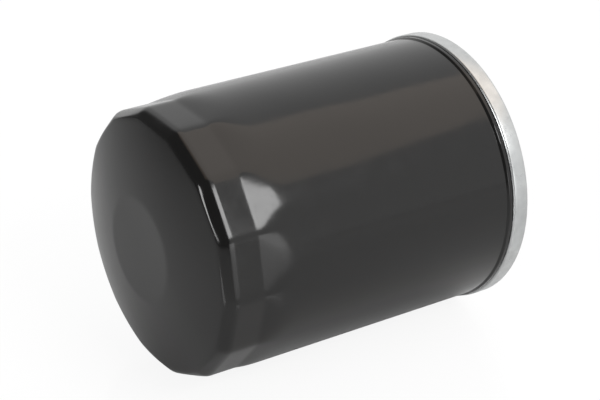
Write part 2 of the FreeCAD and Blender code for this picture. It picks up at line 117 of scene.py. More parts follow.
class FilterSizes(PropertyGroup):
    seam_proud: size("Seam proud", "Seam's outside beyond the can's wall", 0.83 * MM)
    seam_depth: size("Seam depth", "From the can's outside in to the seam's inner sheet", 1.565 * MM)
    can_sheet: size("Can sheet", "Thickness of the can's drawn steel", 0.4 * MM)
    lid_sheet: size("Lid sheet", "Thickness of the seaming lid's steel", 0.55 * MM)
    bead: size("Bead", "How far the bead below the seam stands out", 0.45 * MM)
    knuckle: size("Knuckle", "Outside radius where the wall turns into the dome", 4.2 * MM)
    dome: size("Dome", "Outside radius of the shallow dome", 123 * MM)
    crown_flat: size("Crown flat", "Radius of the flat spot in the middle of the dome", 14.5 * MM)
    flat_count: IntProperty(name="Flats", description="Wrench flats around the domed end",
                            default=14, min=6, max=24)
    flat_sink: size("Flat sink", "Depth of a flat's middle below the wall", 1.2 * MM)
    flat_length: size("Flat length", "Parallel part of a flat", 7.6 * MM)
    flat_runout: size("Flat run-out", "Slope from a flat's end up to the wall", 4.8 * MM)
    flat_crease: size("Flat crease", "Softness where a flat turns into its slope", 0.8 * MM)
    flat_phase: FloatProperty(name="Flat phase", description="Turn from +X to one ridge",
                              default=math.radians(100), unit="ROTATION", subtype="ANGLE")
    flat_rounding: size("Flat rounding", "Softness of the ridge between two flats", 0.6 * MM)
    flat_blend: size("Flat blend", "Softness where a flat runs into the wall", 1.8 * MM)
    ridge_width: size("Ridge width", "Width of the lid's ridge inside the gasket", 2 * MM)
    ridge_height: size("Ridge height", "Top of that ridge above the tapping plate", 3.4 * MM)
    lid_lip: size("Lid lip", "Flat of the lid inside the ridge, welded to the plate", 1.8 * MM)
    gasket_width: size("Gasket width", "Across the gasket's section", 4.6 * MM)
    gasket_rounding: size("Gasket rounding", "Rounding of the gasket's corners", 0.6 * MM)
    hub_wall: size("Hub wall", "Rubber around the threaded collar", 2.4 * MM)
    hub_foot: size("Hub foot", "Rubber around the collar where the flap starts", 4 * MM)
    flap: size("Flap", "Thickness of the rubber flap at its root", 1.1 * MM)
    paper: size("Paper", "Thickness of the filter paper", 0.7 * MM)
    pleat_count: IntProperty(name="Pleats", description="Pleats around the element",
                             default=55, min=20, max=90)
    bypass_wire: size("Bypass wire", "Radius of the bypass spring's wire", 0.5 * MM)
    element_wire: size("Element wire", "Radius of the conical spring's wire", 1.1 * MM)
    weld_radius: size("Weld spot", "Radius of a spot weld on the lid", 0.68 * MM)
    weld_height: size("Weld height", "How far a spot weld stands up", 0.12 * MM)
    weld_count: IntProperty(name="Weld spots", description="Spot welds between lid and plate",
                            default=8, min=3, max=16)


class FilterColours(PropertyGroup):
    paint: colour("Paint", "Baked black enamel on the can", "#0B0A09")
    zinc: colour("Zinc", "Bright zinc plating on the lid", "#C9CBCB")
    plate: colour("Plate", "Zinc plating on the tapping plate", "#B0B2B1")
    gasket: colour("Gasket", "Nitrile rubber", "#161616")
    valve: colour("Valve", "Rubber of the anti-drain valve", "#54301F")
    tin: colour("Tin", "Tinplate of the end caps", "#C8C8C2")
    adhesive: colour("Adhesive", "Cured plastisol", "#A8442F")
    paper: colour("Paper", "Resin-treated filter paper", "#D8B878")
    steel: colour("Steel", "Bare steel of the small parts", "#A9A8A5")
    spring: colour("Spring", "Drawn spring wire", "#77777A")
    compound: colour("Compound", "Set sealing compound", "#9C957F")
    floor: colour("Floor", "Pale studio floor", "#F4F4F4")


# ---- node trees --------------------------------------------------------------------------
def add(tree, kind, inputs=(), **settings):
    """Adds a node and sets or links its inputs. A node given as an input means its first output."""
    node = tree.nodes.new(kind)
    for name, value in settings.items():
        setattr(node, name, value)
    pairs = inputs.items() if isinstance(inputs, dict) else enumerate(inputs)
    for key, value in pairs:
        if isinstance(value, bpy.types.Node):
            value = value.outputs[0]
        if isinstance(value, bpy.types.NodeSocket):
            tree.links.new(value, node.inputs[key])
        elif value is not None:
            node.inputs[key].default_value = value
    return node


def new_rule(name, inputs):
    """Starts a Geometry Nodes tree with named inputs and returns it with its input node."""
    tree = bpy.data.node_groups.new(name, "GeometryNodeTree")
    tree.interface.new_socket("Geometry", in_out="INPUT", socket_type="NodeSocketGeometry")
    tree.interface.new_socket("Geometry", in_out="OUTPUT", socket_type="NodeSocketGeometry")
    tree.interface.new_socket("Material", in_out="INPUT", socket_type="NodeSocketMaterial")
    for label, kind in inputs.items():
        tree.interface.new_socket(label, in_out="INPUT", socket_type="NodeSocket" + kind)
    return tree, add(tree, "NodeGroupInput").outputs


def end_rule(tree, given, geometry):
    """Ends a tree with real geometry that carries its material."""
    realized = add(tree, "GeometryNodeRealizeInstances", [geometry])
    dressed = add(tree, "GeometryNodeSetMaterial", {"Geometry": realized,
                                                    "Material": given["Material"]})
    add(tree, "NodeGroupOutput", [dressed])


def follow_rule(piece, tree, values):
    """Runs a Geometry Nodes tree on a piece and keeps the result as its plain mesh."""
    modifier = piece.modifiers.new(tree.name, "NODES")
    modifier.node_group = tree
    for item in tree.interface.items_tree:
        if item.in_out == "INPUT" and item.name in values:
            modifier[item.identifier] = values[item.name]
    depsgraph = bpy.context.evaluated_depsgraph_get()
    mesh = bpy.data.meshes.new_from_object(piece.evaluated_get(depsgraph))
    piece.modifiers.remove(modifier)
    piece.data = mesh
    return piece


# ---- outlines in the plane of the axis: points are (radius, y) ------------------------------
def rounded(corners, closed=True):
    """Points through corners (radius, y, rounding), with each rounded corner as an arc."""
    points = []
    for index, (radius, y, rounding) in enumerate(corners):
        here = Vector((radius, y))
        if rounding <= 0 or (not closed and index in (0, len(corners) - 1)):
            points.append(here)
            continue
        before = (Vector(corners[index - 1][:2]) - here).normalized()
        after = (Vector(corners[(index + 1) % len(corners)][:2]) - here).normalized()
        half = before.angle(after) / 2
        reach = rounding / math.tan(half)
        centre = here + (before + after).normalized() * (rounding / math.sin(half))
        first = here + before * reach - centre
        last = here + after * reach - centre
        for step in range(ARC_STEPS + 1):
            arm = first.slerp(last, step / ARC_STEPS).normalized()
            points.append(centre + arm * rounding)
    return points


def sheet_sides(path, thickness, bend):
    """Left and right side of pressed sheet whose section follows a path (radius, y)."""
    points = [Vector(p) for p in path]
    sides = {1: [], -1: []}
    for index, here in enumerate(points):
        before = (here - points[index - 1]).normalized() if index else None
        after = (points[index + 1] - here).normalized() if index + 1 < len(points) else None
        before = before or after
        after = after or before
        left = Vector((-before.y - after.y, before.x + after.x)).normalized()
        stretch = 1 / max(math.cos(before.angle(after) / 2), 0.2)
        turn = before.x * after.y - before.y * after.x
        for side, corners in sides.items():
            corner = here + left * (side * thickness / 2 * stretch)
            inside = math.copysign(thickness / 2, turn) * side
            corners.append((corner.x, corner.y, 0 if abs(turn) < 1e-6 else bend - inside))
    return rounded(sides[1], False), rounded(sides[-1], False)


def subdivided(points, longest):
    """The same outline with no step longer than the given length."""
    result = [points[0]]
    for here in points[1:]:
        steps = max(1, math.ceil((here - result[-1]).length / longest))
        start = result[-1]
        result += [start.lerp(here, step / steps) for step in range(1, steps + 1)]
    return result


def revolved(name, section, segments=256, closed=True):
    """Mesh object turned from a section; an open section starts and ends on the axis."""
    on_axis = [not closed and index in (0, len(section) - 1) for index in range(len(section))]
    vertices, rings = [], []
    for (radius, y), pole in zip(section, on_axis):
        ring = []
        for step in range(1 if pole else segments):
            angle = 2 * math.pi * step / segments
            ring.append(len(vertices))
            vertices.append((radius * math.cos(angle), y, radius * math.sin(angle)))
        rings.append(ring * segments if pole else ring)
    faces = []
    for index in range(len(rings) if closed else len(rings) - 1):
        low, high = rings[index], rings[(index + 1) % len(rings)]
        for step in range(segments):
            following = (step + 1) % segments
            corners = (low[step], low[following], high[following], high[step])
            faces.append(tuple(dict.fromkeys(corners)))
    return mesh_object(name, vertices, faces)


def mesh_object(name, vertices=(), faces=()):
    """Object at the origin with faces that point outwards."""
    mesh = bpy.data.meshes.new(name)
    mesh.from_pydata(vertices, [], faces)
    turned = bmesh.new()
    turned.from_mesh(mesh)
    bmesh.ops.recalc_face_normals(turned, faces=turned.faces)
    turned.to_mesh(mesh)
    turned.free()
    piece = bpy.data.objects.new(name, mesh)
    bpy.context.scene.collection.objects.link(piece)
    return piece


def placed(piece, material, body=BODY, stands_for=(), crease=35):
    """Shades a finished piece, gives it its finish and hangs it on its body."""
    mesh = piece.data
    mesh.name = piece.name
    mesh.polygons.foreach_set("use_smooth", [True] * len(mesh.polygons))
    mesh.set_sharp_from_angle(angle=math.radians(crease))
    mesh.materials.clear()
    mesh.materials.append(material)
    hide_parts(*stands_for)
    if body:
        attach(piece, body)
    return piece


# ---- finishes ---------------------------------------------------------------------------------
def new_finish(name, base, roughness, **values):
    """Starts a material; returns it with its tree, its shader and Object coordinates."""
    material = bpy.data.materials.new(name)
    material.use_nodes = True
    tree = material.node_tree
    tree.nodes.clear()
    settings = {"Base Color": (*base, 1), "Roughness": roughness, **values}
    shader = add(tree, "ShaderNodeBsdfPrincipled", settings)
    add(tree, "ShaderNodeOutputMaterial", [shader])
    return material, tree, shader, add(tree, "ShaderNodeTexCoord").outputs["Object"]


def noise(tree, place, grain, detail=2.0):
    """Cloudy pattern whose features are about one grain across."""
    return add(tree, "ShaderNodeTexNoise", {"Vector": place, "Scale": 1 / grain, "Detail": detail})


def between(tree, pattern, low, high, start=0.3, end=0.7):
    """Number that runs from low to high as a pattern goes from start to end."""
    return add(tree, "ShaderNodeMapRange", [pattern, start, end, low, high])


def tinted(tree, shader, base, pattern, darker, start=0.3, end=0.7):
    """Mixes the base colour with a darker tone where a pattern is low."""
    share = between(tree, pattern, 0, 1, start, end)
    dark = (*[c * darker for c in base], 1)
    mix = add(tree, "ShaderNodeMix", {0: share, 6: dark, 7: (*base, 1)}, data_type="RGBA")
    tree.links.new(mix.outputs[2], shader.inputs["Base Color"])


def relief(tree, shader, *heights):
    """Stacks height patterns, each with its depth, into the shader's normal."""
    normal = None
    for pattern, depth in heights:
        normal = add(tree, "ShaderNodeBump", {"Height": pattern, "Distance": depth,
                                              "Normal": normal})
    tree.links.new(normal.outputs[0], shader.inputs["Normal"])


def turned_lines(tree, place, spacing):
    """Lines that run around the axis, as rolling and turning leave them.

    The spacing is a few times the real one, which would be too fine to show.
    """
    parts = add(tree, "ShaderNodeSeparateXYZ", [place])
    across = add(tree, "ShaderNodeCombineXYZ", [parts.outputs[0], 0.0, parts.outputs[2]])
    radius = add(tree, "ShaderNodeVectorMath", [across], operation="LENGTH").outputs["Value"]
    lines = add(tree, "ShaderNodeCombineXYZ", [radius, parts.outputs[1], 0.0])
    fast = add(tree, "ShaderNodeVectorMath", {0: lines, "Scale": 1 / spacing}, operation="SCALE")
    drift = 9 * MM  # how far a line runs before it changes
    slow = add(tree, "ShaderNodeVectorMath", {0: across, "Scale": 1 / drift}, operation="SCALE")
    both = add(tree, "ShaderNodeVectorMath", [fast, slow], operation="ADD")
    return add(tree, "ShaderNodeTexNoise", {"Vector": both, "Scale": 1.0, "Detail": 3.0})


def metal(name, base, roughness, grain, lines=0.0):
    """Bare or plated steel: cloudy tone, uneven polish and, where turned or rolled, fine lines."""
    material, tree, shader, place = new_finish(name, base, roughness, Metallic=1.0)
    clouds = noise(tree, place, grain, 4.0)
    tinted(tree, shader, base, clouds, 0.82)
    polish = between(tree, noise(tree, place, grain / 4), roughness * 0.8, roughness * 1.3)
    tree.links.new(polish.outputs[0], shader.inputs["Roughness"])
    heights = [(noise(tree, place, 0.35 * MM), 0.004 * MM)]
    if lines:
        heights.append((turned_lines(tree, place, lines), 0.006 * MM))
    relief(tree, shader, *heights)
    return material


def baked_enamel(colours):
    """Black epoxy-polyester enamel, sprayed and baked: deep gloss over a faint orange peel."""
    base = colours.paint
    material, tree, shader, place = new_finish("baked_black_enamel", base, 0.13, IOR=1.5)
    tinted(tree, shader, base, noise(tree, place, 14 * MM, 3.0), 0.7)
    polish = between(tree, noise(tree, place, 5 * MM, 5.0), 0.1, 0.17)
    tree.links.new(polish.outputs[0], shader.inputs["Roughness"])
    peel = noise(tree, place, 1.6 * MM, 1.0)
    waves = noise(tree, place, 17 * MM, 0.0)
    dust = noise(tree, place, 0.5 * MM, 1.0)
    specks = between(tree, dust, 0, 1, 0.74, 0.8)
    relief(tree, shader, (waves, 0.12 * MM), (peel, 0.006 * MM), (specks, 0.01 * MM))
    return material


def bright_zinc(colours):
    """Electroplated zinc over pressed steel: silvery and a little cloudy, with roller lines."""
    base = colours.zinc
    material, tree, shader, place = new_finish("bright_zinc_plating", base, 0.3, Metallic=1.0)
    tinted(tree, shader, base, noise(tree, place, 3.5 * MM, 3.0), 0.86)
    polish = between(tree, noise(tree, place, 1.4 * MM, 2.0), 0.27, 0.38)
    tree.links.new(polish.outputs[0], shader.inputs["Roughness"])
    relief(tree, shader, (turned_lines(tree, place, 0.16 * MM), 0.01 * MM),
           (noise(tree, place, 2.2 * MM), 0.02 * MM))
    return material


def plated_plate(colours):
    """Thick blanked plate under zinc: duller than the lid, with shallow press marks."""
    return metal("zinc_plated_plate", colours.plate, 0.36, 5 * MM, 0.22 * MM)


def rubber(name, base, roughness, marks):
    """Moulded rubber: soft sheen broken by fine pores and smears of oil."""
    material, tree, shader, place = new_finish(name, base, roughness, IOR=1.52)
    tinted(tree, shader, base, noise(tree, place, 4 * MM, 4.0), 0.72)
    polish = between(tree, noise(tree, place, 2.5 * MM, 5.0), roughness * 0.7, roughness * 1.2)
    tree.links.new(polish.outputs[0], shader.inputs["Roughness"])
    relief(tree, shader, (noise(tree, place, marks, 3.0), 0.03 * MM))
    return material


def nitrile(colours):
    """Black nitrile gasket wiped with grease."""
    return rubber("greased_nitrile_rubber", colours.gasket, 0.38, 0.3 * MM)


def valve_rubber(colours):
    """Brown nitrile of the anti-drain valve, straight from its mould."""
    return rubber("moulded_valve_rubber", colours.valve, 0.5, 0.25 * MM)


def tinplate(colours):
    """Tin-coated steel sheet, bright with a faint cloud."""
    return metal("tinplate_sheet", colours.tin, 0.24, 8 * MM)


def punched_tinplate(colours):
    """Tinplate strip rolled into the tube, duller where the punch dragged."""
    return metal("punched_tinplate", colours.tin, 0.3, 3 * MM)


def steel_strip(colours):
    """Cold-rolled strip of the paper's clip: even grey with a soft shine."""
    return metal("cold_rolled_strip", colours.steel, 0.34, 4 * MM)


def pressed_steel(colours):
    """Pressed and passivated steel of the bypass valve: satin, with faint drawing lines."""
    return metal("passivated_pressed_steel", colours.steel, 0.38, 3 * MM, 0.3 * MM)


def turned_steel(colours):
    """Turned steel of the riveted pin, with tool lines."""
    return metal("turned_rivet_steel", colours.steel, 0.28, 3 * MM, 0.15 * MM)


def spring_wire(colours):
    """Hard-drawn wire: dark, with a satin polish from the die."""
    return metal("drawn_spring_wire", colours.spring, 0.32, 1.5 * MM)


def plastisol(colours):
    """Cured plastisol that set between cap and paper: soft gloss, small bubbles."""
    base = colours.adhesive
    material, tree, shader, place = new_finish("cured_plastisol", base, 0.42, IOR=1.54)
    tinted(tree, shader, base, noise(tree, place, 3 * MM, 4.0), 0.75)
    relief(tree, shader, (noise(tree, place, 0.8 * MM, 2.0), 0.08 * MM))
    return material


def filter_paper(colours):
    """Resin-treated cellulose paper: matt, with matted fibres."""
    base = colours.paper
    material, tree, shader, place = new_finish("resin_treated_paper", base, 0.85)
    tinted(tree, shader, base, noise(tree, place, 1.1 * MM, 8.0), 0.7)
    fibres = add(tree, "ShaderNodeMapping", {"Vector": place, "Scale": (4.0, 1.0, 4.0)})
    relief(tree, shader, (noise(tree, fibres, 0.5 * MM, 6.0), 0.06 * MM))
    return material


def set_compound(colours):
    """Solvent-based seam compound, dried to a dull grey film."""
    base = colours.compound
    material, tree, shader, place = new_finish("dried_seam_compound", base, 0.7)
    tinted(tree, shader, base, noise(tree, place, 1 * MM, 5.0), 0.7)
    relief(tree, shader, (noise(tree, place, 0.4 * MM, 3.0), 0.03 * MM))
    return material


# ---- rules that shape pieces -----------------------------------------------------------------
def flats_rule():
    """Presses wrench flats into a turned can; points carry how far inside the skin they lie."""
    tree, given = new_rule("Wrench flats", {
        "Flats": "Int", "Flat Distance": "Float", "Wall Radius": "Float", "Fade Start": "Float",
        "Fade Slope": "Float", "Wall Start": "Float", "Dome Edge": "Float",
        "Press Edge": "Float", "Ridge Angle": "Float", "Rounding": "Float", "Blend": "Float",
        "Crease": "Float"})
    inset = add(tree, "GeometryNodeInputNamedAttribute", ["inset"], data_type="FLOAT")
    place = add(tree, "GeometryNodeInputPosition")
    parts = add(tree, "ShaderNodeSeparateXYZ", [place])
    x, y, z = parts.outputs
    across = add(tree, "ShaderNodeCombineXYZ", [x, 0.0, z])
    radius = add(tree, "ShaderNodeVectorMath", [across], operation="LENGTH").outputs["Value"]
    # angle from the middle of the nearest flat
    angle = add(tree, "ShaderNodeMath", [z, x], operation="ARCTAN2")
    half = add(tree, "ShaderNodeMath", [math.pi, given["Flats"]], operation="DIVIDE")
    minus_half = add(tree, "ShaderNodeMath", [half, -1.0], operation="MULTIPLY")
    middle = add(tree, "ShaderNodeMath", [given["Ridge Angle"], half], operation="ADD")
    from_middle = add(tree, "ShaderNodeMath", [angle, middle], operation="SUBTRACT")
    nearest = add(tree, "ShaderNodeMath", [from_middle, half, minus_half], operation="WRAP")
    # distance of the flat from the axis, which grows where the flat slopes up to the wall
    past = add(tree, "ShaderNodeMath", [y, given["Fade Start"]], operation="SUBTRACT")
    past = add(tree, "ShaderNodeMath", [past, 0.0, given["Crease"]], operation="SMOOTH_MAX")
    rise = add(tree, "ShaderNodeMath", [past, given["Fade Slope"]], operation="MULTIPLY")
    distance = add(tree, "ShaderNodeMath", [given["Flat Distance"], rise], operation="ADD")
    # the flat's plane and its neighbour's, met in a soft ridge
    limits = []
    aside = add(tree, "ShaderNodeMath", [nearest], operation="ABSOLUTE")
    whole = add(tree, "ShaderNodeMath", [half, 2.0], operation="MULTIPLY")
    beside = add(tree, "ShaderNodeMath", [whole, aside], operation="SUBTRACT")
    for turn in (aside, beside):
        cosine = add(tree, "ShaderNodeMath", [turn], operation="COSINE")
        limits.append(add(tree, "ShaderNodeMath", [distance, cosine], operation="DIVIDE"))
    limit = add(tree, "ShaderNodeMath", [*limits, given["Rounding"]], operation="SMOOTH_MIN")
    limit = add(tree, "ShaderNodeMath", [given["Wall Radius"], limit, given["Blend"]],
                operation="SMOOTH_MIN")
    sink = add(tree, "ShaderNodeMath", [given["Wall Radius"], limit], operation="SUBTRACT")
    # the press moves wall and knuckle inwards together, and leaves the dome where it was
    outer = add(tree, "ShaderNodeMath", [radius, inset], operation="ADD")
    held = add(tree, "ShaderNodeMapRange", [outer, given["Dome Edge"], given["Press Edge"]],
               interpolation_type="SMOOTHSTEP")
    press = add(tree, "ShaderNodeMath", [sink, held], operation="MULTIPLY")
    pressed = add(tree, "ShaderNodeMath", [radius, press], operation="SUBTRACT")
    far_side = add(tree, "ShaderNodeMath", [y, given["Wall Start"]], operation="GREATER_THAN")
    pressed = add(tree, "ShaderNodeMix", {0: far_side, 2: pressed, 3: radius})
    share = add(tree, "ShaderNodeMath", [pressed, radius], operation="DIVIDE")
    moved = add(tree, "ShaderNodeVectorMath", {0: across, "Scale": share}, operation="SCALE")
    along = add(tree, "ShaderNodeCombineXYZ", [0.0, y, 0.0])
    there = add(tree, "ShaderNodeVectorMath", [moved, along], operation="ADD")
    shaped = add(tree, "GeometryNodeSetPosition", {"Geometry": given["Geometry"],
                                                   "Position": there})
    end_rule(tree, given, shaped)
    return tree


def coil_rule():
    """Winds round wire about the axis, with a dead turn lying flat at each end."""
    tree, given = new_rule("Wound wire", {
        "Start": "Float", "Length": "Float", "Start Radius": "Float", "End Radius": "Float",
        "Wire Radius": "Float", "Turns": "Float", "Dead Share": "Float"})
    spiral = add(tree, "GeometryNodeCurveSpiral", {
        "Resolution": 48, "Rotations": given["Turns"], "Start Radius": given["Start Radius"],
        "End Radius": given["End Radius"], "Height": 0.0})
    factor = add(tree, "GeometryNodeSplineParameter").outputs["Factor"]
    live_start = add(tree, "ShaderNodeMath", [1.0, given["Turns"]], operation="DIVIDE")
    live_end = add(tree, "ShaderNodeMath", [1.0, live_start], operation="SUBTRACT")
    after_dead = add(tree, "ShaderNodeMath", [1.0, given["Dead Share"]], operation="SUBTRACT")
    first = add(tree, "ShaderNodeMapRange", [factor, 0.0, live_start, 0.0, given["Dead Share"]])
    live = add(tree, "ShaderNodeMapRange", [factor, live_start, live_end, given["Dead Share"],
                                            after_dead])
    last = add(tree, "ShaderNodeMapRange", [factor, live_end, 1.0, after_dead, 1.0])
    low = add(tree, "ShaderNodeMath", [first, live], operation="ADD")
    low = add(tree, "ShaderNodeMath", [low, last], operation="ADD")
    share = add(tree, "ShaderNodeMath", [low, 1.0], operation="SUBTRACT")
    lift = add(tree, "ShaderNodeMath", [share, given["Length"]], operation="MULTIPLY")
    offset = add(tree, "ShaderNodeCombineXYZ", [0.0, 0.0, lift])
    wound = add(tree, "GeometryNodeSetPosition", {"Geometry": spiral, "Offset": offset})
    section = add(tree, "GeometryNodeCurvePrimitiveCircle", {"Resolution": 16,
                                                             "Radius": given["Wire Radius"]})
    wire = add(tree, "GeometryNodeCurveToMesh", {"Curve": wound, "Profile Curve": section,
                                                 "Fill Caps": True})
    start = add(tree, "ShaderNodeCombineXYZ", [0.0, given["Start"], 0.0])
    laid = add(tree, "GeometryNodeTransform", {"Geometry": wire, "Translation": start,
                                               "Rotation": (-math.pi / 2, 0, 0)})
    end_rule(tree, given, laid)
    return tree


def pleat_rule():
    """Folds a band of paper to and fro around the axis."""
    tree, given = new_rule("Pleats", {
        "Pleats": "Int", "Inner Radius": "Float", "Outer Radius": "Float", "Thickness": "Float",
        "Start": "Float", "Length": "Float"})
    points = add(tree, "ShaderNodeMath", [given["Pleats"], PLEAT_STEPS], operation="MULTIPLY")
    circle = add(tree, "GeometryNodeCurvePrimitiveCircle", {"Resolution": points, "Radius": 1.0})
    factor = add(tree, "GeometryNodeSplineParameter").outputs["Factor"]
    turns = add(tree, "ShaderNodeMath", [factor, given["Pleats"]], operation="MULTIPLY")
    phase = add(tree, "ShaderNodeMath", [turns, 2 * math.pi], operation="MULTIPLY")
    swing = add(tree, "ShaderNodeMath", [phase], operation="COSINE")
    # a softened triangle wave: straight flanks, tight round folds
    sharpness = 0.97
    swing = add(tree, "ShaderNodeMath", [swing, sharpness], operation="MULTIPLY")
    fold = add(tree, "ShaderNodeMath", [swing], operation="ARCSINE")
    steepest = math.asin(sharpness)
    share = add(tree, "ShaderNodeMapRange", [fold, -steepest, steepest, given["Inner Radius"],
                                             given["Outer Radius"]])
    place = add(tree, "GeometryNodeInputPosition")
    folded = add(tree, "ShaderNodeVectorMath", {0: place, "Scale": share}, operation="SCALE")
    band = add(tree, "GeometryNodeSetPosition", {"Geometry": circle, "Position": folded})
    section = add(tree, "GeometryNodeCurvePrimitiveQuadrilateral",
                  {"Width": given["Thickness"], "Height": given["Length"]})
    paper = add(tree, "GeometryNodeCurveToMesh", {"Curve": band, "Profile Curve": section})
    half = add(tree, "ShaderNodeMath", [given["Length"], 2.0], operation="DIVIDE")
    middle = add(tree, "ShaderNodeMath", [given["Start"], half], operation="ADD")
    start = add(tree, "ShaderNodeCombineXYZ", [0.0, middle, 0.0])
    laid = add(tree, "GeometryNodeTransform", {"Geometry": paper, "Translation": start,
                                               "Rotation": (-math.pi / 2, 0, 0)})
    end_rule(tree, given, laid)
    return tree


def weld_rule():
    """Low round buttons spaced evenly about the axis."""
    tree, given = new_rule("Weld spots", {
        "Count": "Int", "Circle Radius": "Float", "Spot Radius": "Float", "Height": "Float",
        "Face": "Float"})
    circle = add(tree, "GeometryNodeMeshCircle", {"Vertices": given["Count"],
                                                  "Radius": given["Circle Radius"]})
    ball = add(tree, "GeometryNodeMeshUVSphere", {"Segments": 24, "Rings": 12, "Radius": 1.0})
    shape = add(tree, "ShaderNodeCombineXYZ", [given["Spot Radius"], given["Spot Radius"],
                                               given["Height"]])
    spots = add(tree, "GeometryNodeInstanceOnPoints", {"Points": circle, "Instance": ball,
                                                       "Scale": shape})
    face = add(tree, "ShaderNodeCombineXYZ", [0.0, given["Face"], 0.0])
    laid = add(tree, "GeometryNodeTransform", {"Geometry": spots, "Translation": face,
                                               "Rotation": (-math.pi / 2, 0, 0)})
    end_rule(tree, given, laid)
    return tree


# ---- sections --------------------------------------------------------------------------------
def seam_steps(sizes):
    """Can's outside radius, the seam's innermost sheet and the step to each next sheet."""
    rim = BOX["seaming_lid"][1].x
    can_radius = rim - sizes.seam_proud
    chuck_wall = can_radius - sizes.seam_depth
    return can_radius, chuck_wall, (rim - sizes.lid_sheet / 2 - chuck_wall) / 4


def closed_end(sizes, can_radius, inset, rings):
    """Dome with its flat spot, then the knuckle, on the skin that lies inset from outside."""
    dome, knuckle = sizes.dome - inset, sizes.knuckle - inset
    across = can_radius - sizes.knuckle
    centre_y = CROWN_Y + math.sqrt(sizes.dome ** 2 - sizes.crown_flat ** 2)
    knuckle_y = centre_y - math.sqrt((dome - knuckle) ** 2 - across ** 2)
    lean = math.asin(across / (dome - knuckle))
    flat_y = CROWN_Y + inset
    softness = 0.08 * MM  # of the edge around the flat spot
    points = []
    for step in range(rings + 1):
        angle = lean * step / rings
        radius, y = dome * math.sin(angle), centre_y - dome * math.cos(angle)
        overlap = max(softness - abs(y - flat_y), 0) ** 2 / (4 * softness)
        points.append(Vector((radius, max(y, flat_y) + overlap)))
    knuckle_share = 0.6
    knuckle_rings = round(rings * knuckle_share)
    for step in range(1, knuckle_rings + 1):
        angle = lean + (math.pi / 2 - lean) * step / knuckle_rings
        points.append(Vector((across + knuckle * math.sin(angle),
                              knuckle_y - knuckle * math.cos(angle))))
    return points, knuckle_y


def can_section(sizes):
    """Outer and inner skin of the can, from the crown to the folded rim."""
    can_radius, chuck_wall, step = seam_steps(sizes)
    sheet = sizes.can_sheet
    middle = can_radius - sheet / 2
    bead_y = SEAM_BOTTOM - SHEET_GAP - sheet / 2
    hook_y = SEAM_TOP - sizes.lid_sheet - SHEET_GAP - sheet / 2
    bead = middle + sizes.bead
    rim = [(middle, SEAM_BOTTOM - 3 * MM), (middle, SEAM_BOTTOM - 1.9 * MM),
           (bead, SEAM_BOTTOM - 1.2 * MM), (bead, bead_y),
           (chuck_wall + step, bead_y), (chuck_wall + step, hook_y),
           (chuck_wall + 3 * step, hook_y), (chuck_wall + 3 * step, SEAM_BOTTOM + 0.95 * MM)]
    inner_rim, outer_rim = sheet_sides(rim, sheet, 0.3 * MM)
    # fine rings as far as the flats reach, coarse ones along the plain wall
    flats_reach, fine_length, coarse_step = 24 * MM, 30 * MM, 3 * MM
    skins = []
    for inset, side, rings in zip((0.0, sheet), (outer_rim, inner_rim), SKIN_RINGS):
        end, knuckle_y = closed_end(sizes, can_radius, inset, rings)
        wall_start = Vector((end[-1].x, knuckle_y + flats_reach))
        flats = subdivided([end[-1], wall_start], fine_length / rings)
        wall = subdivided([flats[-1], side[0]], coarse_step)
        skins.append(end[:-1] + flats[:-1] + wall[:-1] + side)
    return skins, knuckle_y


def lid_path(sizes):
    """Middle of the lid's sheet: gasket channel inside, rolled seam outside."""
    _, chuck_wall, step = seam_steps(sizes)
    sheet = sizes.lid_sheet
    gasket_base = BOX["sealing_gasket"][0].y
    floor = gasket_base - FIT_GAP - sheet / 2
    gasket_room = 0.5 * MM
    ridge_outer = GASKET_OUTER - sizes.gasket_width - gasket_room
    ridge_inner = ridge_outer - sizes.ridge_width
    opening = ridge_inner - sizes.lid_lip
    ridge_y = sizes.ridge_height
    top = SEAM_TOP - sheet / 2
    low = SEAM_BOTTOM + sheet / 2
    skirt = chuck_wall + 4 * step
    hook = chuck_wall + 2 * step
    return [(opening, floor), (ridge_inner + sheet / 2, floor), (ridge_inner + sheet / 2, ridge_y),
            (ridge_outer - sheet / 2, ridge_y), (ridge_outer - sheet / 2, floor),
            (chuck_wall, floor), (chuck_wall, top), (skirt, top), (skirt, low), (hook, low),
            (hook, SEAM_TOP - 1.4 * MM)]


# ---- operators -------------------------------------------------------------------------------
class BuildStep(Operator):
    """Base of the steps; each builds one piece or one group of like pieces"""
    bl_options = {"REGISTER", "UNDO"}

    def execute(self, context):
        self.build(context.scene.filter_sizes, context.scene.filter_colours)
        return {"FINISHED"}


class FILTER_OT_can(BuildStep):
    """Black can: dome, wrench flats, wall, bead and folded rim"""
    bl_idname = "filter.can"
    bl_label = "Can"

    def build(self, sizes, colours):
        skins, knuckle_y = can_section(sizes)
        section = skins[0] + skins[1][::-1]
        segments = sizes.flat_count * FLAT_STEPS
        piece = revolved("black_can", section, segments, closed=False)
        insets = piece.data.attributes.new("inset", "FLOAT", "POINT")
        inner_start = 1 + (len(skins[0]) - 1) * segments
        for index, item in enumerate(insets.data):
            item.value = sizes.can_sheet if index >= inner_start else 0.0
        can_radius = seam_steps(sizes)[0]
        fade_start = knuckle_y + sizes.flat_length
        dome_share, press_share = 0.9, 0.1  # of the knuckle, where the press starts and is full
        material = baked_enamel(colours)
        follow_rule(piece, flats_rule(), {
            "Material": material, "Flats": sizes.flat_count,
            "Flat Distance": can_radius - sizes.flat_sink,
            "Wall Radius": can_radius, "Fade Start": fade_start,
            "Fade Slope": sizes.flat_sink / sizes.flat_runout,
            "Wall Start": fade_start + 3 * sizes.flat_runout,
            "Dome Edge": can_radius - dome_share * sizes.knuckle,
            "Press Edge": can_radius - press_share * sizes.knuckle,
            "Ridge Angle": sizes.flat_phase, "Rounding": sizes.flat_rounding,
            "Blend": sizes.flat_blend, "Crease": sizes.flat_crease})
        placed(piece, material, stands_for=["can"], crease=60)


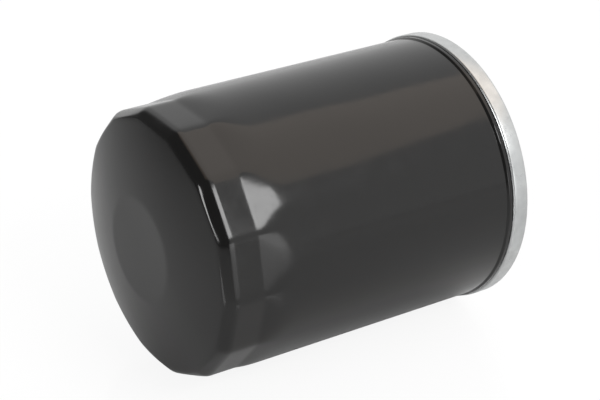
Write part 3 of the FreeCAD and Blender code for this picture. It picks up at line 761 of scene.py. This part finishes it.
class FILTER_OT_lid(BuildStep):
    """Plated seaming lid, rolled over the can's rim, with its spot welds"""
    bl_idname = "filter.lid"
    bl_label = "Seaming lid"

    def build(self, sizes, colours):
        material = bright_zinc(colours)
        path = lid_path(sizes)
        bend = 0.5 * MM
        left, right = sheet_sides(path, sizes.lid_sheet, bend)
        lid = revolved("plated_lid", left + right[::-1])
        placed(lid, material, stands_for=["seaming_lid"])
        clear_of_ridge = 0.1 * MM
        spots = follow_rule(mesh_object("weld_spots"), weld_rule(), {
            "Material": material, "Count": sizes.weld_count,
            "Circle Radius": (path[0][0] + path[1][0]) / 2 - clear_of_ridge,
            "Spot Radius": sizes.weld_radius, "Height": sizes.weld_height,
            "Face": path[0][1] + sizes.lid_sheet / 2})
        placed(spots, material)


class FILTER_OT_gasket(BuildStep):
    """Rubber sealing ring with rounded corners and a mould line"""
    bl_idname = "filter.gasket"
    bl_label = "Sealing gasket"

    def build(self, sizes, colours):
        low, high = BOX["sealing_gasket"][0].y, BOX["sealing_gasket"][1].y
        rounding = sizes.gasket_rounding
        middle = (low + high) / 2
        line_height, line_half_width = 0.06 * MM, 0.15 * MM  # of the mould line
        inner, outer = GASKET_OUTER - sizes.gasket_width, GASKET_OUTER - line_height
        section = rounded([(inner, low, rounding), (outer, low, rounding),
                           (outer, middle - line_half_width, 0), (GASKET_OUTER, middle, 0),
                           (outer, middle + line_half_width, 0), (outer, high, rounding),
                           (inner, high, rounding)])
        placed(revolved("gasket_ring", section), nitrile(colours),
               stands_for=["sealing_gasket"])


class FILTER_OT_valve(BuildStep):
    """Anti-drain valve: a hub on the threaded collar and the flap over the inlet holes"""
    bl_idname = "filter.valve"
    bl_label = "Anti-drain valve"

    def build(self, sizes, colours):
        material = valve_rubber(colours)
        outer = BOX["anti_drain_valve"][1].x
        low, face = BOX["anti_drain_valve"][0].y, BOX["anti_drain_valve"][1].y
        collar = COLLAR_RADIUS + FIT_GAP
        hub, flange = collar + sizes.hub_wall, collar + sizes.hub_foot
        root = face - 2.0 * MM    # where the flap leaves the hub
        foot = root - 2.4 * MM    # low side of the hub's foot
        lip = sizes.flap
        body = rounded([(collar, low, 0.2 * MM), (hub, low, 0.3 * MM), (hub, foot, 0),
                        (flange, foot, 0.3 * MM), (flange, root, 0.2 * MM),
                        (flange - 0.8 * MM, face, 0.2 * MM), (collar, face, 0.2 * MM)])
        placed(revolved("valve_hub", body, 160), material)
        flap = rounded([(flange - 0.5 * MM, root - lip, 0.1 * MM),
                        (flange + 0.8 * MM, root - lip * 0.9, 0.4 * MM),
                        (outer, face - lip * 0.8, 0.2 * MM), (outer, face, 0.2 * MM),
                        (outer - 1.2 * MM, face, 0.3 * MM), (flange + 0.4 * MM, root, 0.4 * MM),
                        (flange - 0.5 * MM, root, 0.1 * MM)])
        piece = revolved("valve_flap", flap, 160)
        placed(piece, material, body=None, stands_for=["anti_drain_valve"])
        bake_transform(piece)


class FILTER_OT_paper(BuildStep):
    """Pleated filter paper"""
    bl_idname = "filter.paper"
    bl_label = "Pleated paper"

    def build(self, sizes, colours):
        low, high = BOX["pleated_media"]
        material = filter_paper(colours)
        tube_room, fold_room = 0.7 * MM, 1.4
        sweep_share = 0.8  # the sweep thickens the paper on slanting flanks
        half = sizes.paper / 2
        inner = BOX["centre_tube"][1].x + tube_room
        piece = follow_rule(mesh_object("pleated_paper"), pleat_rule(), {
            "Material": material, "Pleats": sizes.pleat_count, "Inner Radius": inner + half,
            "Outer Radius": high.x - half * fold_room, "Thickness": sizes.paper * sweep_share,
            "Start": low.y, "Length": high.y - low.y})
        placed(piece, material, stands_for=["pleated_media"])


class FILTER_OT_springs(BuildStep):
    """Bypass spring, and the conical spring between dome and element"""
    bl_idname = "filter.springs"
    bl_label = "Springs"

    def build(self, sizes, colours):
        material, rule = spring_wire(colours), coil_rule()
        low, high = BOX["bypass_spring"]
        wire = sizes.bypass_wire
        piece = self.wind("bypass_coil", "bypass_spring", rule, material, wire, 5.0, 1.0,
                          2 * wire / (high.y - low.y - 2 * wire))
        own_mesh(piece)
        self.wind("element_coil", "element_spring", rule, material, sizes.element_wire, 4.0,
                  0.6, 0.03)

    def wind(self, name, node, rule, material, wire, turns, taper, dead_share):
        """One spring in its node's box; taper is its narrow end's share of its wide end."""
        low, high = BOX[node]
        wide = high.x - wire
        piece = follow_rule(mesh_object(name), rule, {
            "Material": material, "Start": low.y + wire, "Length": high.y - low.y - 2 * wire,
            "Start Radius": wide * taper, "End Radius": wide, "Wire Radius": wire,
            "Turns": turns, "Dead Share": dead_share})
        return placed(piece, material, stands_for=[node])


class FILTER_OT_finishes(BuildStep):
    """Finishes of the pieces that keep their CAD shape"""
    bl_idname = "filter.finishes"
    bl_label = "Finishes of the CAD pieces"

    def build(self, sizes, colours):
        finishes = {plated_plate: ["tapping_plate"], set_compound: ["seam_compound"],
                    tinplate: ["lower_end_cap", "upper_end_cap"],
                    plastisol: ["lower_potting", "upper_potting"],
                    steel_strip: ["media_seam_clip"], punched_tinplate: ["centre_tube"],
                    pressed_steel: ["bypass_housing", "bypass_poppet", "bypass_retainer"],
                    nitrile: ["bypass_seal"], turned_steel: ["bypass_stem"]}
        for make, nodes in finishes.items():
            material = make(colours)
            for name in nodes:
                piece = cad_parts[name]
                if not piece.material_slots:
                    piece.data.materials.append(material)
                for slot in piece.material_slots:
                    slot.material = material


class FILTER_OT_stage(BuildStep):
    """Pale floor, soft studio light and the camera"""
    bl_idname = "filter.stage"
    bl_label = "Studio"

    def build(self, sizes, colours):
        self.lay_floor(colours)
        self.light_room()
        self.place_camera()
        bpy.context.scene.view_settings.view_transform = "Standard"

    def lay_floor(self, colours):
        """Pale glossy table that the filter lies on."""
        material, tree, shader, _ = new_finish("white_acrylic_table", colours.floor, 0.12)
        # lit from below, as a light table is, with a trace of shadow left
        brightness, lit_share, reach = 1.05, 0.85, 3.0
        glow = add(tree, "ShaderNodeEmission", [(1.0, 1.0, 1.0, 1.0), brightness])
        seen = add(tree, "ShaderNodeLightPath").outputs["Is Camera Ray"]
        share = add(tree, "ShaderNodeMath", [seen, lit_share], operation="MULTIPLY")
        mixed = add(tree, "ShaderNodeMixShader", [share, shader, glow])
        output = next(node for node in tree.nodes if node.type == "OUTPUT_MATERIAL")
        tree.links.new(mixed.outputs[0], output.inputs["Surface"])
        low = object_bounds()[0].z
        corners = [(-reach, -reach, low), (reach, -reach, low), (reach, reach, low),
                   (-reach, reach, low)]
        floor = mesh_object("studio_floor", corners, [(0, 1, 2, 3)])
        floor.data.materials.append(material)
        floor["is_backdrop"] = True

    def light_room(self):
        """White room with four softboxes, and each box's brightness as seen in a mirror."""
        world = bpy.data.worlds.new("studio_room")
        world.use_nodes = True
        tree = world.node_tree
        tree.nodes.clear()
        # white towards the threaded end; the room around the domed end is darker
        dark_y, white_y, dark_level, white_level = -0.16, 0.1, 0.2, 1.0
        way = add(tree, "ShaderNodeTexCoord").outputs["Generated"]
        parts = add(tree, "ShaderNodeSeparateXYZ", [way])
        level = add(tree, "ShaderNodeMapRange",
                    [parts.outputs[1], dark_y, white_y, dark_level, white_level],
                    interpolation_type="SMOOTHSTEP")
        light = add(tree, "ShaderNodeBackground", [(1.0, 1.0, 1.0, 1.0), level])
        add(tree, "ShaderNodeOutputWorld", [light])
        bpy.context.scene.world = world
        warm = (1.0, 0.78, 0.6)
        self.hang_light("overhead_softbox", (0.116, 0.244, 0.98), (0.9, 1.2), 0.6, warm,
                        leaning=True)
        bpy.data.objects["overhead_softbox"].visible_diffuse = False
        self.hang_light("side_softbox", (0.76, 0.1, 0.63), (0.46, 0.3), 8.0)
        self.hang_light("low_softbox", (0.97, 0.05, 0.03), (0.6, 0.3), 1.6)
        self.hang_light("front_softbox", (0.2, -0.94, 0.32), (0.4, 0.28), 9.0)

    def hang_light(self, name, place, extent, radiance, tint=(1.0, 1.0, 1.0), leaning=False):
        """Softbox that faces the axis, upright, or leans to face the middle of the filter."""
        data = bpy.data.lights.new(name, "AREA")
        data.shape = "RECTANGLE"
        data.size, data.size_y = extent
        data.color = tint
        data.energy = radiance * math.pi * extent[0] * extent[1]
        lamp = bpy.data.objects.new(name, data)
        bpy.context.scene.collection.objects.link(lamp)
        lamp.location = place
        lamp.rotation_mode = "QUATERNION"
        facing = Vector((-place[0], -place[1], -place[2] if leaning else 0.0))
        lamp.rotation_quaternion = facing.to_track_quat("-Z", "Y")
        lamp.visible_camera = False

    def place_camera(self):
        """Long lens above and in front of the domed end."""
        azimuth, elevation, distance = math.radians(56.3), math.radians(25.35), 535.1 * MM
        back = Vector((math.sin(azimuth) * math.cos(elevation),
                       -math.cos(azimuth) * math.cos(elevation), math.sin(elevation)))
        right = (-back).cross(Vector((0, 0, 1))).normalized()
        up = right.cross(-back)
        on_axis, aside, below = -37.8 * MM, 6.06 * MM, 0.69 * MM
        target = Vector((0, on_axis, 0)) - right * aside - up * below
        data = bpy.data.cameras.new("camera")
        data.sensor_width = 36.0
        data.lens = 114.6
        data.clip_start, data.clip_end = 0.01, 20.0
        camera = bpy.data.objects.new("camera", data)
        bpy.context.scene.collection.objects.link(camera)
        camera.location = target + back * distance
        camera.rotation_mode = "QUATERNION"
        camera.rotation_quaternion = (-back).to_track_quat("-Z", "Y")
        bpy.context.scene.camera = camera


STEPS = (FILTER_OT_can, FILTER_OT_lid, FILTER_OT_gasket, FILTER_OT_valve, FILTER_OT_paper,
         FILTER_OT_springs, FILTER_OT_finishes, FILTER_OT_stage)


class FILTER_PT_steps(Panel):
    """Sizes, colours and build steps of the filter"""
    bl_idname = "FILTER_PT_steps"
    bl_label = "Oil Filter"
    bl_space_type = "VIEW_3D"
    bl_region_type = "UI"
    bl_category = "Oil Filter"

    def draw(self, context):
        for group in (context.scene.filter_sizes, context.scene.filter_colours):
            column = self.layout.column(align=True)
            for name in group.__annotations__:
                column.prop(group, name)
        for step in STEPS:
            self.layout.operator(step.bl_idname)


CLASSES = (FilterSizes, FilterColours, *STEPS, FILTER_PT_steps)


def register():
    for item in CLASSES:
        bpy.utils.register_class(item)
    bpy.types.Scene.filter_sizes = PointerProperty(type=FilterSizes)
    bpy.types.Scene.filter_colours = PointerProperty(type=FilterColours)


def unregister():
    del bpy.types.Scene.filter_colours
    del bpy.types.Scene.filter_sizes
    for item in reversed(CLASSES):
        bpy.utils.unregister_class(item)


def main():
    register()
    for step in STEPS:
        group, name = step.bl_idname.split(".")
        getattr(getattr(bpy.ops, group), name)()


if __name__ == "__main__":
    main()
